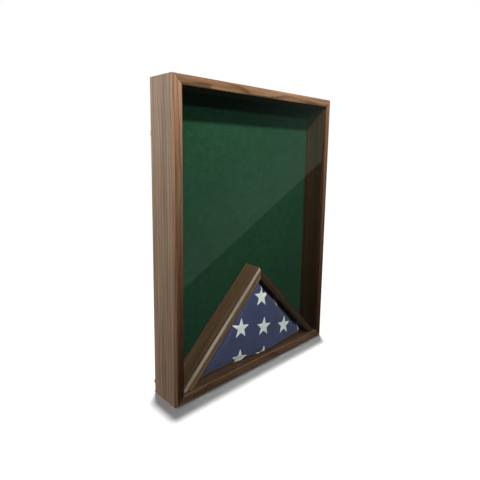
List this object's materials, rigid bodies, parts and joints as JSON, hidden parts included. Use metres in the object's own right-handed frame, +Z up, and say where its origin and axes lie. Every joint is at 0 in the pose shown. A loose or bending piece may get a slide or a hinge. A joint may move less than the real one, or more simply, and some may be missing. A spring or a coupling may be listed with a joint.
{
  "type": "folded flag display case",
  "caption": "Upright walnut shadow box with a fixed front pane, a lift-out felt-lined back and two sloping dividers that hold a triangularly folded flag.",
  "frame": {"origin": "under the middle of the whole object, on the surface that the case stands on", "axes": "-Y is the glazed front, +X the case's right seen from the front, +Z up"},
  "size_m": [0.48, 0.081, 0.635],
  "materials": {
    "walnut_case": "satin oiled",
    "walnut_divider": "satin oiled",
    "spline_wood": "sawn",
    "fibreboard": "matt",
    "plywood": "sanded",
    "green_felt": "felted wool",
    "flag_cloth": "woven",
    "pane": "clear",
    "turn_button_brass": "pressed",
    "screw_brass": "plated",
    "zinc_steel": "zinc plated",
    "bumper_rubber": "matt"
  },
  "bodies": {
    "case": {"top_board": "walnut_case", "bottom_board": "walnut_case", "left_board": "walnut_case", "right_board": "walnut_case", "corner_splines": "spline_wood", "left_divider": "walnut_divider", "right_divider": "walnut_divider", "divider_spline": "spline_wood", "divider_screws": "zinc_steel", "front_glass": "pane", "folded_flag": "flag_cloth", "turn_button_screws": "screw_brass", "left_hanger_strap": "zinc_steel", "right_hanger_strap": "zinc_steel", "hanger_screws": "zinc_steel", "wall_bumpers": "bumper_rubber"},
    "back_panel": {"felt_covering": "green_felt", "pin_board": "fibreboard", "back_board": "plywood"},
    "top_button": {"turn_button_top": "turn_button_brass"},
    "bottom_button": {"turn_button_bottom": "turn_button_brass"},
    "left_upper_button": {"turn_button_left_upper": "turn_button_brass"},
    "left_lower_button": {"turn_button_left_lower": "turn_button_brass"},
    "right_upper_button": {"turn_button_right_upper": "turn_button_brass"},
    "right_lower_button": {"turn_button_right_lower": "turn_button_brass"},
    "left_ring": {"left_hanger_ring": "zinc_steel"},
    "right_ring": {"right_hanger_ring": "zinc_steel"}
  },
  "joints": [
    {"name": "back_panel_slide", "type": "slide", "parent": "case", "child": "back_panel", "axis": [0, 1, 0], "range_m": [0, 0.06]},
    {"name": "top_button_turn", "type": "hinge", "parent": "case", "child": "top_button", "pos_m": [0, 0.03625, 0.62825], "axis": [0, 1, 0], "range_deg": [0, 180]},
    {"name": "bottom_button_turn", "type": "hinge", "parent": "case", "child": "bottom_button", "pos_m": [0, 0.03625, 0.00675], "axis": [0, -1, 0], "range_deg": [0, 180]},
    {"name": "left_upper_button_turn", "type": "hinge", "parent": "case", "child": "left_upper_button", "pos_m": [-0.23325, 0.03625, 0.465], "axis": [0, 1, 0], "range_deg": [0, 180]},
    {"name": "left_lower_button_turn", "type": "hinge", "parent": "case", "child": "left_lower_button", "pos_m": [-0.23325, 0.03625, 0.17], "axis": [0, 1, 0], "range_deg": [0, 180]},
    {"name": "right_upper_button_turn", "type": "hinge", "parent": "case", "child": "right_upper_button", "pos_m": [0.23325, 0.03625, 0.465], "axis": [0, -1, 0], "range_deg": [0, 180]},
    {"name": "right_lower_button_turn", "type": "hinge", "parent": "case", "child": "right_lower_button", "pos_m": [0.23325, 0.03625, 0.17], "axis": [0, -1, 0], "range_deg": [0, 180]},
    {"name": "left_ring_swing", "type": "hinge", "parent": "case", "child": "left_ring", "pos_m": [-0.23325, 0.0379, 0.535], "axis": [1, 0, 0], "range_deg": [0, 180]},
    {"name": "right_ring_swing", "type": "hinge", "parent": "case", "child": "right_ring", "pos_m": [0.23325, 0.0379, 0.535], "axis": [1, 0, 0], "range_deg": [0, 180]}
  ]
}
